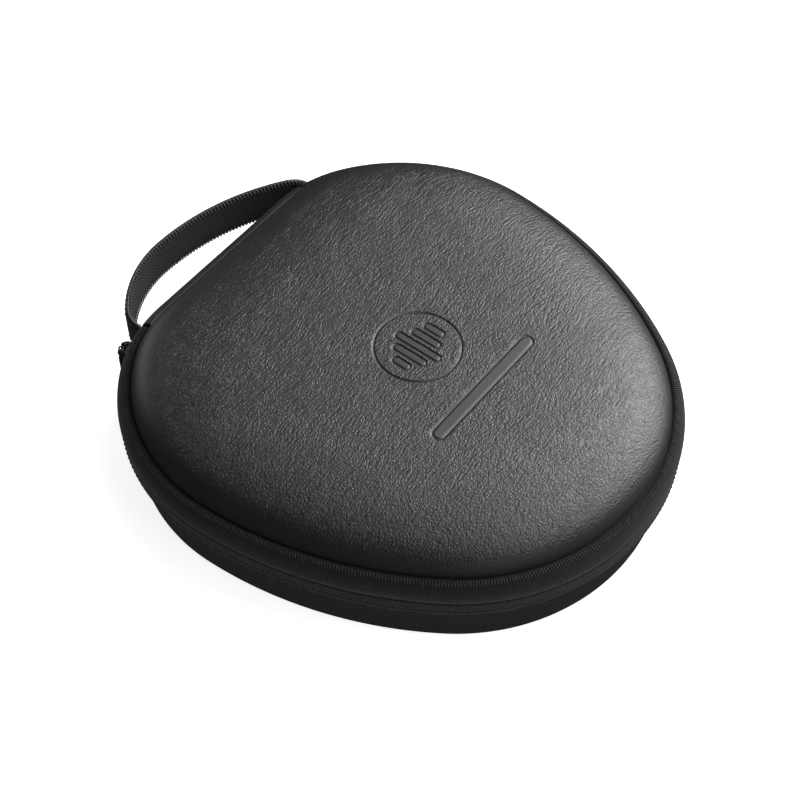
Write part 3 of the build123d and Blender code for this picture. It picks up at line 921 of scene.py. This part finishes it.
def make_hinge(leather, fabric):
    """One leather strip from the base over the fold to the groove, and its fabric backing."""
    reach = TAPE_START - 0.25 * MM
    run = np.linspace(-reach, reach, 220)
    outer = smooth_through([(0.5, 27.3), (-0.35, 27.8), (-0.6, 28.8), (-0.35, 31.0), (-0.1, 34.5),
                            (0.15, 37.4), (0.2, 38.8), (0.0, 40.4), (0.4, 42.6), (1.4, 44.4), (2.9, 45.5),
                            (4.3, 45.95), (5.3, 45.85), (6.0, 45.2), (6.4, 44.4)], 70)
    grid = sweep(run, rounded_loop(outer, 1.0 * MM))
    points = run[:, None]
    slack = 0.10 * MM * (np.sin(points / (9 * MM)) + 0.6 * np.sin(points / (3.7 * MM) + 1))
    fold = np.exp(-((grid[..., 2] - HINGE_Z) / (2.5 * MM)) ** 2)
    grid[..., 1] -= slack * fold
    strip = surface("hinge_strip", grid, leather, wrap_v=True, caps=True)
    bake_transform(strip)
    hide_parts("hinge_leather_lower", "hinge_leather_upper")
    back = smooth_through([(0.75, 32.8), (0.85, 35.3), (1.0, 37.8), (0.95, 39.4), (0.9, 41.4)], 24)
    grid = sweep(run, rounded_loop(back, 0.5 * MM))
    lining = surface("hinge_backing", grid, fabric, wrap_v=True, caps=True)
    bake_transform(lining)


# ---- handle

STRAP_LOW, STRAP_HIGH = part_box("handle_leather")[0].z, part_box("handle_leather")[1].z
APEX = (-11.9 * MM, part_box("handle_leather")[1].y)
LEFT_R, RIGHT_R, TUCK_R = 53.5 * MM, 115.3 * MM, 8.0 * MM
LEFT_END, RIGHT_END, TUCK_TURN = math.radians(45.8), math.radians(37.5), math.radians(46.0)
STRAP_TAIL = 7.5 * MM
LEATHER_THICK, WEBBING_THICK = 1.2 * MM, 1.0 * MM
STRAP_STEPS = 340
LEFT_TAPER, LEFT_DROP, RIGHT_TAPER, RIGHT_DROP = 16 * MM, 4.4 * MM, 20 * MM, 4.8 * MM
SINK, SINK_OVER = 0.9 * MM, 26 * MM
OVERLOCK_PITCH, OVERLOCK_LENGTH, OVERLOCK_YARN = 1.75 * MM, 0.95 * MM, 0.33 * MM
STITCH_PITCH, STITCH_LENGTH, STITCH_YARN, STITCH_INSET = 2.6 * MM, 1.7 * MM, 0.16 * MM, 2.6 * MM


def strap_half(side, radius, end):
    """Points and outward normals of one half of the strap's outer line, from the apex to the wall."""
    turn = np.linspace(0, end, 90)
    centre = np.array([APEX[0], APEX[1] - radius])
    normal = np.stack([side * np.sin(turn), np.cos(turn)], -1)
    points = centre + radius * normal
    tuck = np.linspace(end, end + TUCK_TURN, 40)[1:]
    tuck_normal = np.stack([side * np.sin(tuck), np.cos(tuck)], -1)
    tuck_points = points[-1] - TUCK_R * normal[-1] + TUCK_R * tuck_normal
    heading = np.array([side * math.cos(tuck[-1]), -math.sin(tuck[-1])])
    tail = np.linspace(0, STRAP_TAIL, 12)[1:, None]
    return (np.vstack([points, tuck_points, tuck_points[-1] + heading * tail]),
            np.vstack([normal, tuck_normal, np.repeat(tuck_normal[-1:], 11, 0)]))


def strap_line(count):
    """Even points, normals and distances along the strap, left wall to right wall."""
    left, left_normal = strap_half(-1, LEFT_R, LEFT_END)
    right, right_normal = strap_half(1, RIGHT_R, RIGHT_END)
    points = np.vstack([left[::-1], right[1:]])
    normals = np.vstack([left_normal[::-1], right_normal[1:]])
    length = run_along(points)
    at = np.linspace(0, length[-1], count)
    points, normals = pick(at, length, points), pick(at, length, normals)
    return points, unit(normals), at


def strap_edges(at):
    """Lower and upper edge heights: the strap narrows just where it tucks under the rim."""
    left, right = 1 - ease(at / LEFT_TAPER), 1 - ease((at[-1] - at) / RIGHT_TAPER)
    low = STRAP_LOW + (left + right) * 0.8 * MM
    return low, STRAP_HIGH - left * LEFT_DROP - right * RIGHT_DROP


def strap_grid(line, section):
    """Carry a closed section of (depth inward, share of the width, lift in metres) along the strap."""
    points, normals, at = line
    low, high = strap_edges(at)
    depth, share, lift = np.asarray(section, float).T
    flat = points[:, None, :] - normals[:, None, :] * depth[None, :, None]
    height = low[:, None] + (high - low)[:, None] * share[None, :] + lift[None, :]
    return np.concatenate([flat, height[..., None]], -1)


def leather_section():
    """Outer leather that wraps both edges of the webbing with a rolled lip."""
    width = STRAP_HIGH - STRAP_LOW
    loop = smooth_through([(0.55, 0.25), (0.12, 1.0), (-0.15, 3.2), (-0.22, 7.0), (-0.24, 10.1),
                           (-0.22, 13.2), (-0.15, 17.0), (0.12, 19.2), (0.55, 19.95), (1.15, 20.2),
                           (1.75, 20.05), (2.0, 19.6), (1.75, 19.2), (1.3, 18.9), (1.2, 15.0), (1.2, 10.1),
                           (1.2, 5.2), (1.3, 1.3), (1.75, 1.0), (2.0, 0.6), (1.75, 0.15), (1.15, 0.0),
                           (0.62, 0.2)], 96)
    return np.stack([loop[:, 0], loop[:, 1] / width, np.zeros(len(loop))], -1)


def webbing_section():
    low, high = 0.065, 0.935
    share = np.linspace(low, high, 30)
    swell = 0.12 * MM * np.sin(np.pi * (share - low) / (high - low))
    inner = np.stack([LEATHER_THICK + WEBBING_THICK + swell, share, np.zeros(30)], -1)
    outer = np.stack([np.full(30, LEATHER_THICK + 0.05 * MM), share[::-1], np.zeros(30)], -1)
    return np.vstack([inner, outer])


def overlock(line, edge, way, yarn, name):
    """Slanted stitches that wrap one edge of the strap."""
    points, normals, at = line
    heights = strap_edges(at)[edge]
    if way < 0:                        # the upper row sinks at both ends, clear of the open lid
        heights = heights - (2 - ease(at / SINK_OVER) - ease((at[-1] - at) / SINK_OVER)) * SINK
    places = np.arange(3 * MM, at[-1] - 3 * MM, OVERLOCK_PITCH)
    share = np.linspace(0, 1, 9)
    here = places[:, None] + OVERLOCK_LENGTH * share[None, :]
    x, n = pick(here, at, points), pick(here, at, normals)
    depth = np.interp(share, [0.0, 0.12, 0.28, 0.5, 1.0], [1.1, 2.05, 2.5, 2.62, 2.35]) * MM
    reach = np.interp(share, [0.0, 0.12, 0.28, 1.0], [-0.12, -0.02, 0.35, 2.3]) * MM
    z = np.interp(here, at, heights) + way * reach[None, :]
    path = np.concatenate([x - n * depth[None, :, None], z[..., None]], -1)
    return strands(name, path, OVERLOCK_YARN, yarn)


def strap_seam(line, yarn):
    """Two rows of small stitches on the outer face."""
    points, normals, at = line
    low, high = strap_edges(at)
    places = np.arange(2.5 * MM, at[-1] - 3 * MM, STITCH_PITCH)
    share = np.linspace(0, 1, 6)
    here = places[:, None] + STITCH_LENGTH * share[None, :]
    x, n = pick(here, at, points), pick(here, at, normals)
    rows = []
    for heights, way in ((low, 1), (high, -1)):
        z = np.interp(here, at, heights) + way * STITCH_INSET
        bow = 0.28 * MM * np.sin(np.pi * share)[None, :, None]
        rows.append(np.concatenate([x + n * (0.02 * MM + bow), z[..., None]], -1))
    return strands("strap_seam", np.concatenate(rows), STITCH_YARN, yarn)


def make_handle(leather, twill, yarn):
    line = strap_line(STRAP_STEPS)
    outer, inner = (surface(name, strap_grid(line, section), cloth, wrap_v=True, caps=True)
                    for name, section, cloth in (("strap_leather_band", leather_section(), leather),
                                                 ("strap_webbing_band", webbing_section(), twill)))
    low_edge, high_edge = (overlock(line, 0, 1, yarn, "overlock_low"),
                           overlock(line, 1, -1, yarn, "overlock_high"))
    seam = strap_seam(line, yarn)
    for piece, slot in ((outer, "strap_leather"), (inner, "strap_webbing"), (low_edge, "strap_webbing"),
                        (high_edge, "strap_webbing"), (seam, "strap_webbing")):
        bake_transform(piece)
    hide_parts("handle_leather", "handle_end_left", "handle_end_right")
    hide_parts("handle_webbing")


# ---- slider

PIVOT_OUT = 4.1 * MM               # from the slider's inner face to the pull's pivot


def slider_axes():
    """Origin on the slider's inner face, and its directions: along the zip, up, and outward."""
    pivot = Vector(JOINT_AT["pull_swing"])
    outward = (pivot - Vector(JOINT_AT["slider_travel"])).normalized()
    origin = pivot - outward * PIVOT_OUT
    return np.array(origin), np.array((-outward.y, outward.x, 0)), np.array((0, 0, 1.0)), np.array(outward)


def make_slider_body(material):
    """Domed plate under the bail, wide at its front."""
    origin, along, up, outward = slider_axes()
    half, wide, narrow, power = 4.5 * MM, 3.1 * MM, 2.2 * MM, 0.62
    angle = np.linspace(0, 2 * math.pi, 72, endpoint=False)
    u = np.sign(np.cos(angle)) * np.abs(np.cos(angle)) ** power
    v = np.sign(np.sin(angle)) * np.abs(np.sin(angle)) ** power
    edge = np.stack([u * half, v * (narrow + (wide - narrow) * (u + 1) / 2)], -1)
    rows = [(0.97, 0.0), (1.0, 0.10), (1.0, 0.65), (0.96, 0.88), (0.88, 1.0), (0.84, 1.0), (0.80, 1.18),
            (0.70, 1.5), (0.55, 1.85), (0.38, 2.08), (0.2, 2.18), (0.05, 2.2)]
    grid = np.zeros((len(edge), len(rows), 3))
    for index, (share, rise) in enumerate(rows):
        flat = edge * share
        grid[:, index] = origin + flat[:, :1] * along + flat[:, 1:] * up + rise * MM * outward
    body = surface("slider_plate", grid, material, wrap_u=True)
    close_hole(body, grid)
    keep(body, "slider", "zip_metal", "slider_body")


def make_bail(material):
    """Arch over the plate: stout where it stands, slender in the middle where the ring hooks on."""
    origin, along, up, outward = slider_axes()
    turn = np.linspace(0, math.pi, 41)
    arch = np.sin(turn) ** 0.6
    middle = (origin + 2.7 * MM * np.cos(turn)[:, None] * along
              + (0.9 + 3.2 * arch)[:, None] * MM * outward)
    across = np.cross(unit(np.gradient(middle, axis=0)), up)
    stout = ease((np.abs(np.cos(turn)) - 0.25) / 0.35)
    thick, wide = (0.5 + 1.2 * stout) * MM, (0.75 + 1.15 * stout) * MM
    angle = np.linspace(0, 2 * math.pi, 20, endpoint=False)
    grid = (middle[:, None, :] + across[:, None, :] * (thick[:, None] * np.cos(angle))[..., None]
            + up * (wide[:, None] * np.sin(angle))[..., None])
    bail = surface("slider_arch", grid, material, wrap_v=True, caps=True)
    keep(bail, "slider", "zip_metal", "slider_bail")


# ---- everything

make_camera()
make_studio()
knit = knit_tape()
lining_cloth = brushed_fabric("lining_fabric", 0.006, 0.060)
divider_cloth = brushed_fabric("divider_fabric", 0.008, 0.080)
hinge_hide = smooth_leather("hinge_leather", 0.018, 0.034, 0.36)
strap_hide = smooth_leather("strap_leather", 0.012, 0.026, 0.42)
elastic_cloth = webbing("elastic", 0.9)
# The strap's thread is painted light grey: partly its own colour, partly painted highlight for the shine on
# the stitches.
yarn = thread("thread", 0.04, 0.15)
coil_nylon = nylon()
metal = black_metal()
make_lid_cover(lid_leather())
make_rim_tape(knit, thread("rib_yarn", 0.006, 0.018))
make_lower_tape(knit, thread("seam_thread", 0.006, 0.02))
make_base_cover(base_leather())
make_coil("lower_coil", "base", "lower_zip_coil", 0.0, coil_nylon)
make_coil("upper_coil", "lid", "upper_zip_coil", math.pi, coil_nylon)
make_base_lining(lining_cloth)
make_lid_lining(lining_cloth)
make_divider(divider_cloth, elastic_cloth)
make_pocket(open_mesh(), elastic_cloth, elastic_cloth)
make_hinge(hinge_hide, lining_cloth)
make_handle(strap_hide, webbing(), yarn)
make_slider_body(metal)
make_bail(metal)
bevelled("pull_ring", 0.22 * MM, "pull", "zip_metal", metal)
bevelled("pull_tab", 0.3 * MM, "pull", "pull_rubber", matte_rubber())
bevelled("zip_stops", 0.2 * MM, "base", "zip_metal", metal)

foam = moulded_foam()
for node in ("base_core", "lid_core"):
    piece = frame["nodes"][node]
    piece.data.materials.clear()
    piece.data.materials.append(foam)
